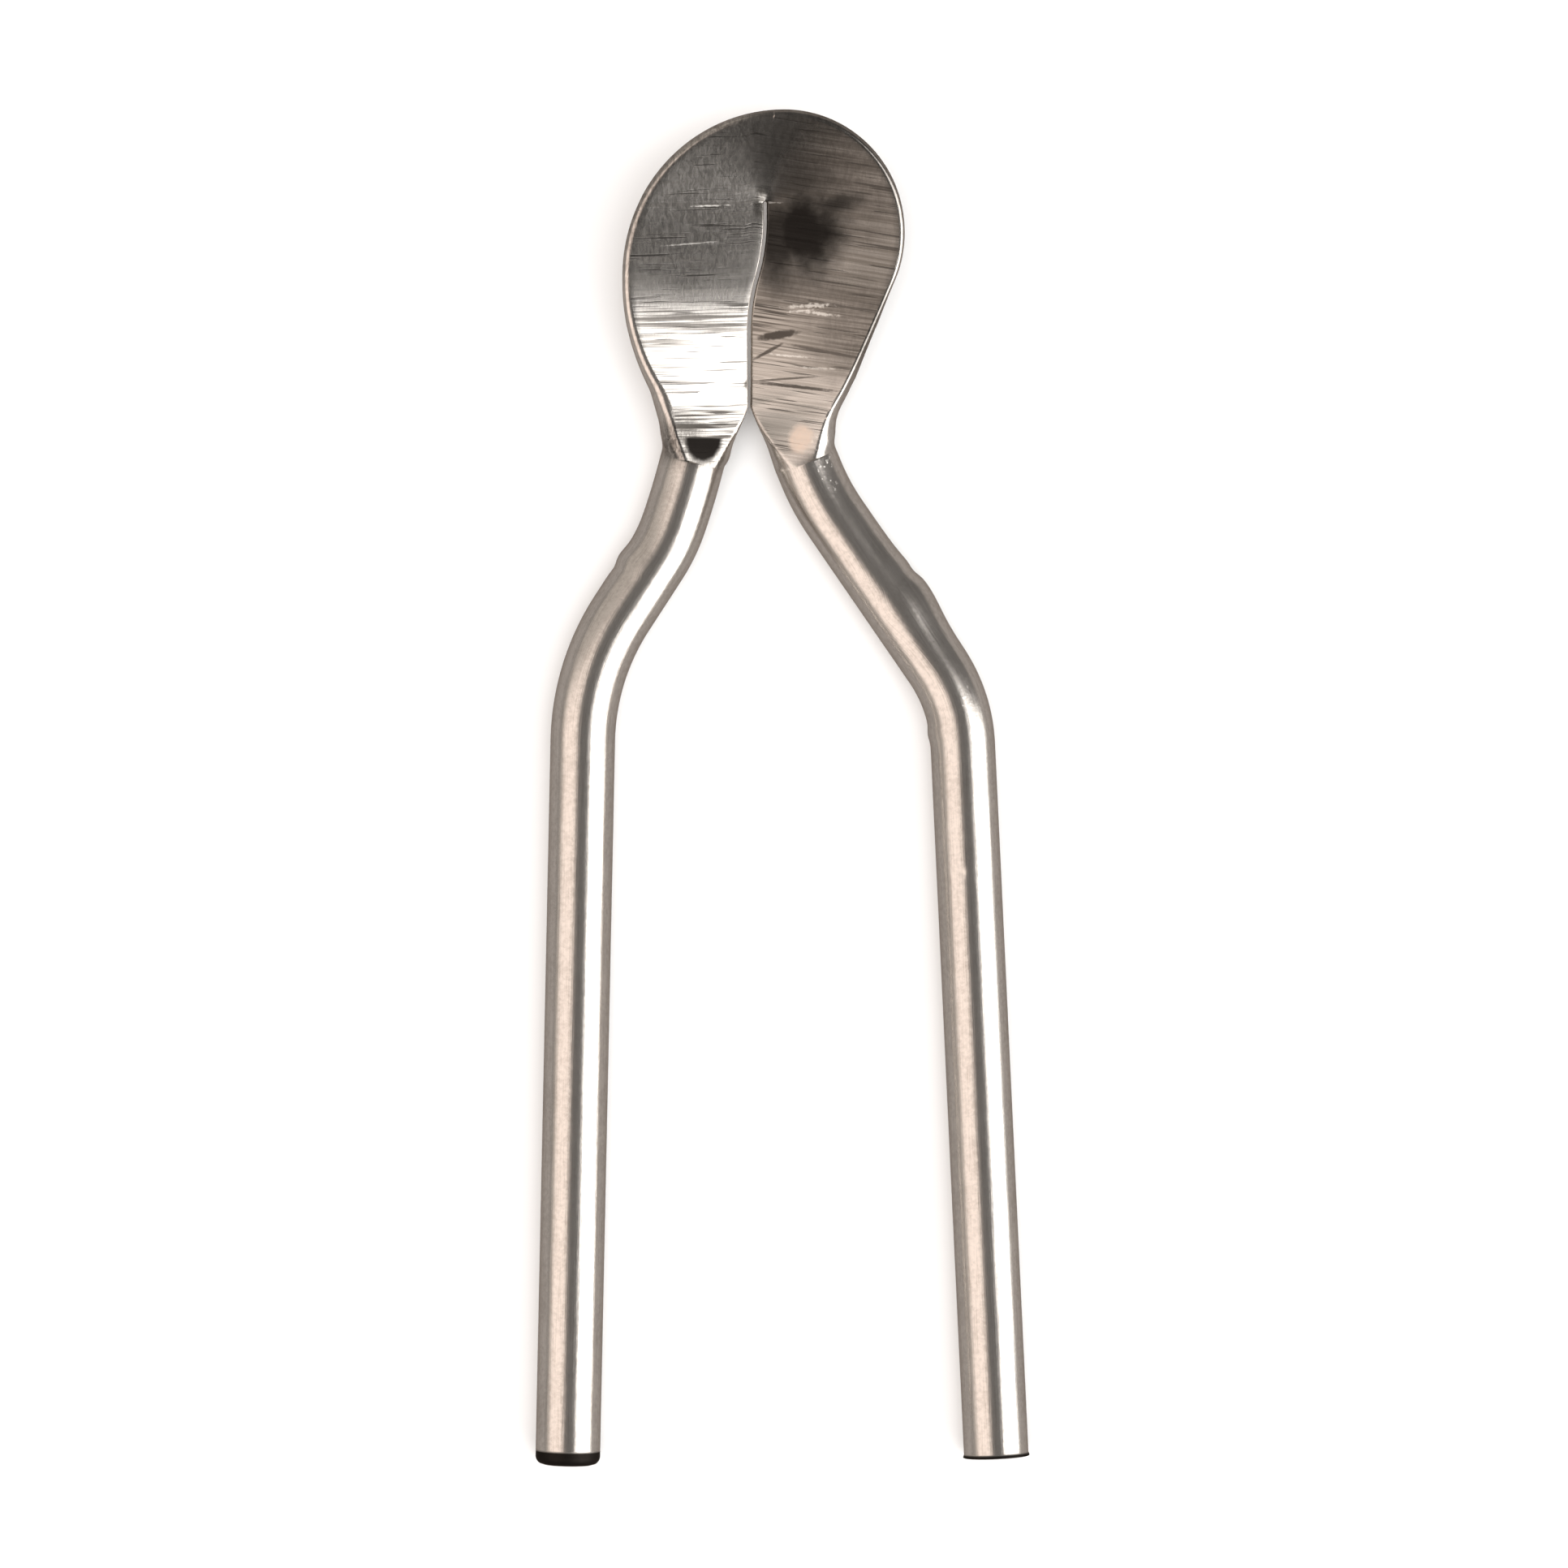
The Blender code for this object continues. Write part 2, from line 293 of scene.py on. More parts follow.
@dataclass
class Forging:
    """The pressed plate: a run of sections from the left arm over the top to the right arm."""

    bar_radius: float = 4.0 * MM
    plate: float = 1.6 * MM
    step_start: float = 1.8 * MM
    step_length: dict[Side, float] = field(
        default_factory=lambda: {Side.LEFT: 3.0 * MM, Side.RIGHT: 3.4 * MM})
    step_thickness: float = 5.8 * MM
    taper: float = 4.5 * MM
    leave_length: float = 1.8 * MM
    flat_start: float = 4.2 * MM
    flat_length: float = 5.0 * MM
    slit: float = 0.3 * MM
    depth: dict[Side, float] = field(
        default_factory=lambda: {Side.LEFT: 2.2 * MM, Side.RIGHT: 2.9 * MM})
    rise: dict[Side, float] = field(
        default_factory=lambda: {Side.LEFT: 1.1 * MM, Side.RIGHT: 1.3 * MM})
    dished: float = 0.40
    flattening: tuple[float, float] = (0.54, 0.74)
    roll: dict[Side, float] = field(
        default_factory=lambda: {Side.LEFT: 1.3 * MM, Side.RIGHT: 0.2 * MM})
    lean: float = 11.5
    rim_height: float = 2.0 * MM
    rim_fall: float = 0.6 * MM
    rim_arch: float = 0.4 * MM
    rim_start: tuple[float, float] = (-11.46 * MM, -8.46 * MM)
    rim_heading: float = 15.0
    rim_left: tuple[Move, ...] = (
        Move(0.0, -42.0, 14.7 * MM), Move(0.0, 27.0, 27.5 * MM), Move(0.0, 90.0, 19.8 * MM))
    rim_right: tuple[Move, ...] = (
        Move(0.0, 114.0, 14.6 * MM), Move(15.25 * MM, -46.5, 9.87 * MM))
    slit_open_end: tuple[float, float] = (-0.2 * MM, -1.2 * MM)
    slit_lower: float = 8.8 * MM
    slit_sway: float = 16.5
    slit_sway_radius: float = 24.3 * MM
    slit_upper: float = 2.0 * MM
    fulcrum_corner: float = 0.5 * MM
    rim_border: dict[Side, Border] = field(default_factory=lambda: {
        Side.LEFT: Border(0.75 * MM, 2.1 * MM, 5.5 * MM),
        Side.RIGHT: Border(0.5 * MM, 2.0 * MM, 1.9 * MM)})
    slit_border: dict[Side, Border] = field(default_factory=lambda: {
        Side.LEFT: Border(0.15 * MM, 0.65 * MM, 2.0 * MM),
        Side.RIGHT: Border(0.35 * MM, 1.4 * MM, 1.8 * MM)})
    back_round: float = 0.6 * MM
    ring: RingPlan = field(default_factory=RingPlan)

    def __post_init__(self) -> None:
        """Lay out the rim and the crease."""
        self.rim = Run(Vector(self.rim_start), math.radians(self.rim_heading),
                       list(self.rim_left + self.rim_right))
        self.length = self.rim.length
        self.arms = {Side.LEFT: self.arm_top(0.0), Side.RIGHT: self.arm_top(self.length)}
        self.crease = self.lay_crease()
        top, slit_end = total(list(self.rim_left)), self.crease.at(self.up)[0].y
        self.left_flank = self.level_crossing(slit_end, 0.0, top)
        self.right_flank = self.level_crossing(slit_end, self.length, top)

    def arm_top(self, distance: float) -> tuple[Vector, float]:
        """Middle of the round bar at one end of the rim, and the rim's heading there."""
        point, heading = self.rim.at(distance)
        return point + self.bar_radius * across(heading), heading

    def level_crossing(self, level: float, below: float, above: float) -> float:
        """Distance along the rim at which it crosses a height, between two distances."""
        for _ in range(40):
            middle = (below + above) / 2
            if self.rim.at(middle)[0].y < level:
                below = middle
            else:
                above = middle
        return middle

    def arm_edges(self, distance: float) -> tuple[Vector, Vector]:
        """Both edges of the round bar, carried straight on into the plate."""
        side = Side.LEFT if distance < self.length / 2 else Side.RIGHT
        top, heading = self.arms[side]
        along = distance if side is Side.LEFT else distance - self.length
        centre, reach = top + along * direction(heading), self.bar_radius * across(heading)
        return centre - reach, centre + reach

    def lay_crease(self) -> Run:
        """Inner edge: from the left arm up the slit, round its closed end and down again."""
        left_inner = self.arm_edges(0.0)[1]
        right_inner = self.arm_edges(self.length)[1]
        opening, half = Vector(self.slit_open_end), Vector((self.slit / 2, 0.0))
        rising, falling = opening - half - left_inner, right_inner - opening - half
        lean_in = math.degrees(math.atan2(rising.x, rising.y))
        lean_out = math.degrees(math.atan2(falling.x, -falling.y))
        sway, radius = self.slit_sway, self.slit_sway_radius
        rise = [Move(rising.length, -lean_in, self.fulcrum_corner),
                Move(self.slit_lower, sway, radius), Move(0.0, -sway, radius),
                Move(self.slit_upper)]
        turn = [Move(0.0, 180.0, self.slit / 2)]
        fall = [Move(self.slit_upper, sway, radius), Move(0.0, -sway, radius),
                Move(self.slit_lower, -lean_out, self.fulcrum_corner), Move(falling.length)]
        self.up, self.turn, self.down = total(rise), total(turn), total(fall)
        return Run(left_inner, math.radians(lean_in), rise + turn + fall)

    def crease_distance(self, distance: float) -> float:
        """Distance along the crease that shares a ruling with one along the rim."""
        if distance < self.left_flank:
            return self.up * distance / self.left_flank
        if distance < self.right_flank:
            return self.up + self.turn * self.crown_share(distance)
        fallen = (distance - self.right_flank) / (self.length - self.right_flank)
        return self.up + self.turn + self.down * fallen

    def crown_share(self, distance: float) -> float:
        """How far round the crown a distance is, from 0 at the left to 1 at the right."""
        share = (distance - self.left_flank) / (self.right_flank - self.left_flank)
        return min(max(share, 0.0), 1.0)

    def heights(self, distance: float) -> tuple[float, float]:
        """Heights of the front face at the rim and at the crease."""
        side = Side.LEFT if distance < self.length / 2 else Side.RIGHT
        climb = distance / self.left_flank
        if side is Side.RIGHT:
            climb = (self.length - distance) / (self.length - self.right_flank)
        crown = self.crown_share(distance)
        roll, depth, rise = self.roll[side], self.depth[side], self.rise[side]
        dished = smooth(climb / self.dished)
        flattened = smooth((climb - self.flattening[0])
                           / (self.flattening[1] - self.flattening[0]))
        arch = self.rim_arch * math.sin(math.pi * crown)
        rim = mix(roll, self.rim_height, dished) - self.rim_fall * flattened + arch
        crease = -mix(roll, depth, dished) + rise * flattened
        if 0.0 < crown < 1.0:
            ends = [self.depth[end] - self.rise[end] for end in Side]
            crease = -mix(*ends, smooth(crown))
        return rim, crease

    def thickness(self, distance: float) -> tuple[float, float, float]:
        """Thickness at a distance.

        Args:
            distance: Distance along the rim.

        Returns:
            The thickness, how far the press step is passed, and the share of the bar left.
        """
        side = Side.LEFT if distance < self.length / 2 else Side.RIGHT
        from_arm = min(distance, self.length - distance)
        step = self.step_length[side]
        ramp = min(max((from_arm - self.step_start) / step, 0.0), 1.0)
        pressed = ramp ** 1.5
        past = max(from_arm - self.step_start - step, 0.0)
        extra = (self.step_thickness - self.plate) * math.exp(-past / self.taper)
        thickness = mix(2 * self.bar_radius, self.plate + extra, pressed)
        share = (thickness - self.plate) / (2 * self.bar_radius - self.plate)
        return thickness, pressed, share

    def edges(self, distance: float) -> tuple[Vector, Vector]:
        """Edges of a section: middle of the round bar, front face of the thin plate."""
        thickness, _, share = self.thickness(distance)
        from_arm = min(distance, self.length - distance)
        leave = smooth((from_arm - self.step_start) / self.leave_length)
        arm_rim, arm_crease = self.arm_edges(distance)
        rim_height, crease_height = self.heights(distance)
        lift = (1.0 - share) * thickness / 2
        rim = mix(arm_rim, self.rim.at(distance)[0], leave)
        crease = mix(arm_crease, self.crease.at(self.crease_distance(distance))[0], leave)
        lean = math.tan(math.radians(self.lean))
        rim_height += lean * (rim.y - self.rim_start[1])
        crease_height += lean * (crease.y - self.rim_start[1])
        return (Vector((*rim, leave * rim_height + lift)),
                Vector((*crease, leave * crease_height + lift)))

    def section(self, distance: float) -> list[Vector]:
        """Ring of points across the plate at a distance along the rim."""
        rim, crease = self.edges(distance)
        nudge = 0.6 * MM
        ahead, behind = self.edges(distance + nudge), self.edges(distance - nudge)
        along = (ahead[0] + ahead[1] - behind[0] - behind[1]).normalized()
        reach = (rim - crease).normalized()
        normal = along.cross(reach).normalized()
        thickness, _, share = self.thickness(distance)
        width = (rim - crease).length
        middle = (rim + crease) / 2 - (1.0 - share) * thickness / 2 * normal
        from_arm = min(distance, self.length - distance)
        side = Side.LEFT if distance < self.length / 2 else Side.RIGHT
        spread = smooth((from_arm - self.flat_start) / self.flat_length)
        bar = self.ring.round_bar(self.bar_radius)
        flat = self.ring.plate(
            width, thickness, self.rim_border[side].width(from_arm),
            self.slit_border[side].width(from_arm),
            mix(self.back_round, self.bar_radius, share))
        ring = []
        for cut, pressed in zip(bar, flat):
            limit = thickness / 2
            clipped = Vector((cut.x * width / (2 * self.bar_radius),
                              min(max(cut.y, -limit), limit)))
            x, y = mix(clipped, pressed, spread)
            ring.append(middle + x * reach + y * normal)
        return ring

    def slit_middle(self, height: float) -> float:
        """Where the slit is at a height in the tool's plane."""
        low, high = 0.0, self.up
        for _ in range(24):
            middle = (low + high) / 2
            if self.crease.at(middle)[0].y < height:
                low = middle
            else:
                high = middle
        return self.crease.at(middle)[0].x + self.slit / 2

    def is_flat(self, index: int, distance: float) -> float:
        """1 on the pressed front face, 0 on the round sides and the back."""
        half = math.sqrt(max(1.0 - (self.thickness(distance)[0] / 2 / self.bar_radius) ** 2, 0.0))
        place = abs(math.sin(math.radians(45.0 * (2.0 * index / self.ring.front - 1.0))))
        return smooth((half - place) / 0.06 + 0.5) if index <= self.ring.front else 0.0


class Number:
    """A number that varies over a surface; arithmetic on it adds Math nodes."""

    def __init__(self, graph: Graph, socket: bpy.types.NodeSocket) -> None:
        """Wrap an output socket."""
        self.graph = graph
        self.socket = socket

    def math(self, operation: str, *others: Number | float) -> Number:
        """One Math node on this number and others."""
        values = {index: value for index, value in enumerate((self, *others))}
        return self.graph.number("ShaderNodeMath", {"operation": operation}, values)

    def __add__(self, other: Number | float) -> Number:
        """Sum."""
        return self.math("ADD", other)

    __radd__ = __add__

    def __mul__(self, other: Number | float) -> Number:
        """Product."""
        return self.math("MULTIPLY", other)

    __rmul__ = __mul__

    def __sub__(self, other: Number | float) -> Number:
        """Difference."""
        return self.math("SUBTRACT", other)

    def __rsub__(self, other: float) -> Number:
        """Reflected difference."""
        return self * -1.0 + other

    def ramp(self, low: float, high: float) -> Number:
        """Ease from 0 at one value to 1 at another."""
        return self.graph.number(
            "ShaderNodeMapRange", {"interpolation_type": "SMOOTHSTEP"},
            {"Value": self, "From Min": low, "From Max": high})


class Graph:
    """Node tree that is written as expressions."""

    def __init__(self, tree: bpy.types.NodeTree) -> None:
        """Wrap an empty tree."""
        self.tree = tree
        tree.nodes.clear()

    def node(self, kind: str, settings: dict | None = None,
             inputs: dict | None = None) -> bpy.types.Node:
        """Add a node.

        Args:
            kind: Node type.
            settings: Properties to set first.
            inputs: Values, numbers or sockets by input name or index.

        Returns:
            The node.
        """
        made = self.tree.nodes.new(kind)
        for name, value in (settings or {}).items():
            setattr(made, name, value)
        for key, value in (inputs or {}).items():
            value = value.socket if isinstance(value, Number) else value
            if isinstance(value, bpy.types.NodeSocket):
                self.tree.links.new(value, made.inputs[key])
            else:
                made.inputs[key].default_value = value
        return made

    def number(self, kind: str, settings: dict | None = None,
               inputs: dict | None = None, output: str | int = 0) -> Number:
        """Add a node and take one of its outputs as a number."""
        return Number(self, self.node(kind, settings, inputs).outputs[output])

    def attribute(self, name: str) -> Number:
        """Number that the mesh carries on its points."""
        return self.number("ShaderNodeAttribute", {"attribute_name": name}, output="Fac")

    def grain(self, place: bpy.types.NodeSocket, stretch: tuple[float, float, float],
              detail: float = 2.0, rough: float = 0.55, swirl: float = 0.0) -> Number:
        """Noise that is stretched along one axis.

        Args:
            place: Coordinates.
            stretch: Spots per metre along each axis.
            detail: Finer layers.
            rough: How strong the finer layers are.
            swirl: How much it is bent out of line.

        Returns:
            Noise from 0 to 1.
        """
        scaled = self.node("ShaderNodeMapping", {}, {"Vector": place, "Scale": stretch})
        return self.number("ShaderNodeTexNoise", {"noise_dimensions": "3D"}, {
            "Vector": scaled.outputs[0], "Scale": 1.0, "Detail": detail, "Roughness": rough,
            "Distortion": swirl})

    def patch(self, place: bpy.types.NodeSocket, spot: Spot,
              ragged: Number | float = 0.0) -> Number:
        """How strongly a patch shows.

        Args:
            place: Coordinates from the fulcrum.
            spot: The patch.
            ragged: Number that moves its edge in and out.

        Returns:
            Number from 0 to the patch's depth.
        """
        turned = self.node("ShaderNodeMapping", {"vector_type": "TEXTURE"}, {
            "Vector": place, "Location": (spot.x * MM, spot.y * MM, 0.0),
            "Rotation": (0.0, 0.0, math.radians(spot.angle)),
            "Scale": (spot.half_length * MM, spot.half_width * MM, 1.0)})
        off = self.number("ShaderNodeVectorMath", {"operation": "LENGTH"},
                          {0: turned.outputs[0]}, "Value")
        return (1.0 - (off + ragged).ramp(1.0 - spot.soft, 1.0 + spot.soft)) * spot.depth

    def patches(self, place: bpy.types.NodeSocket, spots: tuple[Spot, ...],
                ragged: Number | float = 0.0) -> Number:
        """Strongest of several patches."""
        first, *others = [self.patch(place, spot, ragged) for spot in spots]
        for other in others:
            first = first.math("MAXIMUM", other)
        return first

    def turned(self, place: bpy.types.NodeSocket, angle: float) -> bpy.types.NodeSocket:
        """Coordinates turned in the plane, so that the first axis rises by an angle in degrees."""
        made = self.node("ShaderNodeVectorRotate", {"rotation_type": "Z_AXIS"}, {
            "Vector": place, "Angle": -math.radians(angle)})
        return made.outputs[0]

    def between(self, share: Number | float, first: bpy.types.NodeSocket,
                second: bpy.types.NodeSocket) -> bpy.types.NodeSocket:
        """Vector between two vectors."""
        made = self.node("ShaderNodeMix", {"data_type": "VECTOR"}, {0: share, 4: first, 5: second})
        return made.outputs[1]

    def blend(self, share: Number | float, first: object, second: object) -> bpy.types.NodeSocket:
        """Colour between two colours."""
        made = self.node("ShaderNodeMix", {"data_type": "RGBA"}, {0: share, 6: first, 7: second})
        return made.outputs[2]


def tone(red: float, green: float, blue: float) -> tuple[float, float, float, float]:
    """Linear colour."""
    return red, green, blue, 1.0


@dataclass(frozen=True)
class BarSteel:
    """Satin drawn bar, and the same steel where it is pressed flat and ground across."""

    drawn: tuple = tone(0.66, 0.62, 0.58)
    pressed: tuple = tone(0.62, 0.59, 0.555)
    dull: tuple = tone(0.36, 0.325, 0.29)
    # Dark tone for the pressed face right of the slit, stronger towards the top.
    scaled: tuple = tone(0.235, 0.215, 0.19)
    # Dark colour of the painted shade.
    painted_shade_tone: tuple = tone(0.095, 0.086, 0.077)
    scored: tuple = tone(0.07, 0.062, 0.055)
    # Near-black colour: the dark sawn ends of the legs, and the painted shade of the pocket and of the
    # recess on the left press step.
    blackening: tuple = tone(0.022, 0.019, 0.017)
    # Pale colour of the painted highlights (gleams and sparkles).
    painted_highlight: tuple = tone(0.80, 0.77, 0.72)
    # Peach colour of the painted reflection on the right press step.
    painted_reflection_tone: tuple = tone(0.64, 0.49, 0.39)
    edge: tuple = tone(0.62, 0.58, 0.55)
    mottle_grain: tuple = (1700.0, 1700.0, 1700.0)
    cloud_grain: tuple = (260.0, 260.0, 260.0)
    draw_grain: tuple = (5200.0, 130.0, 1.0)
    streak_grain: tuple = (60.0, 3200.0, 60.0)
    broad_grain: tuple = (40.0, 900.0, 40.0)
    upright_grain: tuple = (2300.0, 900.0, 900.0)
    scratch_grain: tuple = (110.0, 3600.0, 110.0)
    relief: float = 0.00003
    drawn_rough: float = 0.21
    pressed_rough: float = 0.22
    left_grind: float = 2.0
    right_grind: float = -9.0
    # Painted shade: dark pocket right of the slit's closed end, where the right leaf dips under the
    # left.
    painted_pocket_shadow: tuple[Spot, ...] = (
        Spot(6.6, 20.2, 4.4, 5.0, 0.0, 0.6), Spot(3.6, 19.4, 3.2, 5.4, 0.0, 0.6, 0.93),
        Spot(10.4, 23.4, 3.0, 1.1, 8.0, 0.8, 0.8), Spot(5.0, 26.0, 4.6, 2.8, 0.0, 0.8, 0.6))
    # Painted shade: soft dark patches over the upper hood, the right leaf, the slit's closed end and
    # round the left press step.
    shade: tuple[Spot, ...] = (
        Spot(-8.0, 25.5, 12.5, 12.0, 0.0, 0.45, 0.60), Spot(8.5, 29.5, 13.0, 8.5, -30.0, 0.75, 0.95),
        Spot(13.5, 8.5, 6.5, 6.5, 0.0, 0.6, 0.80), Spot(8.0, 13.0, 9.0, 2.6, -8.0, 0.6, 0.65),
        Spot(1.7, 23.6, 1.6, 2.8, 0.0, 0.6, 1.0), Spot(-8.4, -5.4, 2.8, 2.6, 0.0, 0.6, 0.85),
        Spot(-6.4, -7.2, 3.0, 1.6, -15.0, 0.6, 0.6))
    banded: tuple[Spot, ...] = (
        Spot(-6.0, 9.8, 13.0, 2.0, 0.0, 0.5, 0.8), Spot(-6.5, -3.4, 7.0, 3.0, 0.0, 0.4, 1.0),
        Spot(-12.0, 4.5, 4.6, 4.5, 0.0, 0.6, 0.6))
    scratches: tuple[Spot, ...] = (
        Spot(3.4, 7.6, 2.5, 0.5, 8.0, 0.3, 1.0), Spot(2.2, 5.6, 2.0, 0.22, 28.0, 0.4, 0.9),
        Spot(5.6, 1.2, 5.0, 0.2, -7.0, 0.4, 0.9), Spot(-0.3, 1.7, 0.7, 0.45, 60.0, 0.5, 0.9),
        Spot(4.4, 2.2, 4.0, 0.13, 3.0, 0.4, 0.8), Spot(9.5, 5.4, 4.5, 0.2, -12.0, 0.4, 0.8))
    # Painted highlights: short bright strokes where fine scratches on the hood catch the light,
    # painted paler and less metallic.
    painted_highlight_strokes: tuple[Spot, ...] = (
        Spot(-5.0, 23.2, 2.1, 0.13, 2.0, 0.5, 0.8), Spot(2.4, 23.7, 1.4, 0.13, 0.0, 0.5, 0.6),
        Spot(-7.2, 18.6, 3.4, 0.10, 5.0, 0.5, 0.5), Spot(7.6, 11.1, 2.6, 0.26, 2.0, 0.5, 0.5),
        Spot(8.8, 10.1, 2.4, 0.18, -8.0, 0.5, 0.5), Spot(6.2, 10.5, 1.6, 0.15, 4.0, 0.5, 0.5),
        Spot(5.0, 5.0, 2.8, 0.12, -6.0, 0.5, 0.5), Spot(8.6, 3.4, 2.6, 0.12, -4.0, 0.5, 0.4))
    # Painted shadow: black U over the wall of the left limb's press step.
    painted_recess_shadow: Spot = Spot(-5.7, -5.2, 2.2, 2.9, -8.0, 0.16)
    recess_top: float = -5.2
    # Painted reflection: round pale peach mark on the right limb's press step, made less metallic and
    # rougher.
    painted_step_reflection: Spot = Spot(6.2, -5.2, 1.5, 1.8, 0.0, 0.3)
    # Painted highlights: sparkly bright specks on the right arm, painted paler and less metallic.
    painted_sparkle_spots: tuple[Spot, ...] = (
        Spot(9.0, -8.5, 1.0, 3.0, 20.0, 0.5), Spot(26.6, -37.5, 0.6, 2.2, 10.0, 0.5))

    def material(self) -> bpy.types.Material:
        """Make the material."""
        made = bpy.data.materials.new("bar_steel")
        made.use_nodes = True
        graph = Graph(made.node_tree)
        coords = graph.node("ShaderNodeTexCoord").outputs
        uv = coords["UV"]
        place = graph.node("ShaderNodeAttribute", {"attribute_name": "place"}).outputs["Vector"]
        flat, blackening = graph.attribute("flat"), graph.attribute("blackening")
        darkened_side = graph.attribute("dull")
        dull = darkened_side * flat
        right_side = graph.number("ShaderNodeSeparateXYZ", {}, {0: place}).ramp(-0.001, 0.001)
        height = graph.number("ShaderNodeSeparateXYZ", {}, {0: place}, "Y")
        front = graph.number("ShaderNodeSeparateXYZ", {}, {0: coords["Normal"]}, "Z").ramp(0.0, 0.3)
        ground = graph.between(right_side, graph.turned(place, self.left_grind),
                               graph.turned(place, self.right_grind))
        mottle = graph.grain(place, self.mottle_grain, 4.0, 0.6)
        cloud = graph.grain(place, self.cloud_grain, 4.0, 0.6)
        draw = graph.grain(uv, self.draw_grain, 3.0, 0.6)
        streak = graph.grain(ground, self.streak_grain, 3.0, 0.65)
        broad = graph.grain(ground, self.broad_grain, 2.0)
        upright = graph.grain(place, self.upright_grain, 4.0, 0.65, 0.8)
        scratch = graph.grain(ground, self.scratch_grain, 1.0).ramp(0.62, 0.69)
        wear = (mottle * 0.6 + cloud * 0.4).ramp(0.40, 0.64)
        # Painted shade in the pocket, kept to the right of the slit.
        painted_pocket_shadow = (graph.patches(place, self.painted_pocket_shadow, (cloud - 0.5) * 1.1 + (streak - 0.5) * 0.5)
                  * darkened_side.ramp(0.1, 0.6))
        shade = graph.patches(place, self.shade, (cloud - 0.5) * 0.8 + (streak - 0.5) * 0.6)
        banded = graph.patches(place, self.banded) * streak.ramp(0.44, 0.60)
        scored = graph.patches(place, self.scratches, (mottle - 0.5) * 0.8)
        painted_gleam = graph.patches(place, self.painted_highlight_strokes, (mottle - 0.45) * 3.2) * flat
        painted_sparkle = graph.patches(place, self.painted_sparkle_spots) * mottle.ramp(0.58, 0.64) * front
        painted_step_reflection = graph.patch(place, self.painted_step_reflection, (cloud - 0.5) * 1.4) * front * (0.35 + mottle * 0.8)
        # Painted shadow on the left press step's wall, only on front faces and below its top edge.
        painted_recess_shadow = (graph.patch(place, self.painted_recess_shadow, (mottle - 0.5) * 0.16) * front
                  * (1.0 - height.ramp(self.recess_top * MM - 0.0001, self.recess_top * MM + 0.0002)))
        # Blackening: the dark sawn ends, plus the painted shade in the pocket and on the left press
        # step.
        black = (blackening + painted_pocket_shadow * front * 0.97).math("MAXIMUM", painted_recess_shadow)
        bar = graph.blend(wear * 0.28 + draw.ramp(0.45, 0.75) * 0.32, self.drawn, self.dull)
        face = graph.blend(streak.ramp(0.45, 0.75) * 0.45, self.pressed, self.dull)
        # The pressed face right of the slit is darkened, more towards the top.
        face = graph.blend(dull * (streak.ramp(0.3, 0.7) * 0.6 + 0.5), face, self.scaled)
        face = graph.blend(scratch * 0.7, face, self.scored)
        face = graph.blend(banded.math("MAXIMUM", scored), face, self.scored)
        metal = graph.blend(flat, bar, face)
        # Painted shade: how strongly the dark patches show, varied by the grain and stronger on the
        # right leaf.
        shaded = (upright.ramp(0.32, 0.68) * (0.6 - right_side * 0.42) + streak * 0.7
                  + right_side * 0.25 + 0.15)
        metal = graph.blend(shade * front * shaded, metal, self.painted_shade_tone)
        # Painted highlights: gleams and sparkles are blended to a pale colour.
        metal = graph.blend(painted_gleam.math("MAXIMUM", painted_sparkle), metal, self.painted_highlight)
        # Painted reflection on the right press step.
        metal = graph.blend(painted_step_reflection, metal, self.painted_reflection_tone)
        colour = graph.blend(black, metal, self.blackening)
        rough = ((1.0 - flat) * (self.drawn_rough + (mottle - 0.5) * 0.20)
                 + flat * (self.pressed_rough + dull * 0.08 + (streak - 0.5) * 0.20)
                 + black * 0.35 + painted_step_reflection * 0.3)
        relief = ((1.0 - flat) * (mottle * 0.6 + draw * 0.6)
                  + flat * (streak * 0.8 + broad * 1.5 + upright * 0.4 - scratch * 0.9))
        normal = graph.node("ShaderNodeBump", {}, {
            "Strength": 0.6, "Distance": self.relief, "Height": relief})
        # The painted highlights and the painted step reflection are made less metallic, so they stay
        # pale.
        metallic = 1.0 - (painted_gleam * 0.6 + painted_sparkle * 0.8 + painted_step_reflection * 0.85).math("MINIMUM", 1.0)
        shader = graph.node("ShaderNodeBsdfPrincipled", {}, {
            "Metallic": metallic, "Base Color": colour, "Roughness": rough,
            "Specular Tint": self.edge, "Normal": normal.outputs[0]})
        graph.node("ShaderNodeOutputMaterial", {}, {0: shader.outputs[0]})
        return made


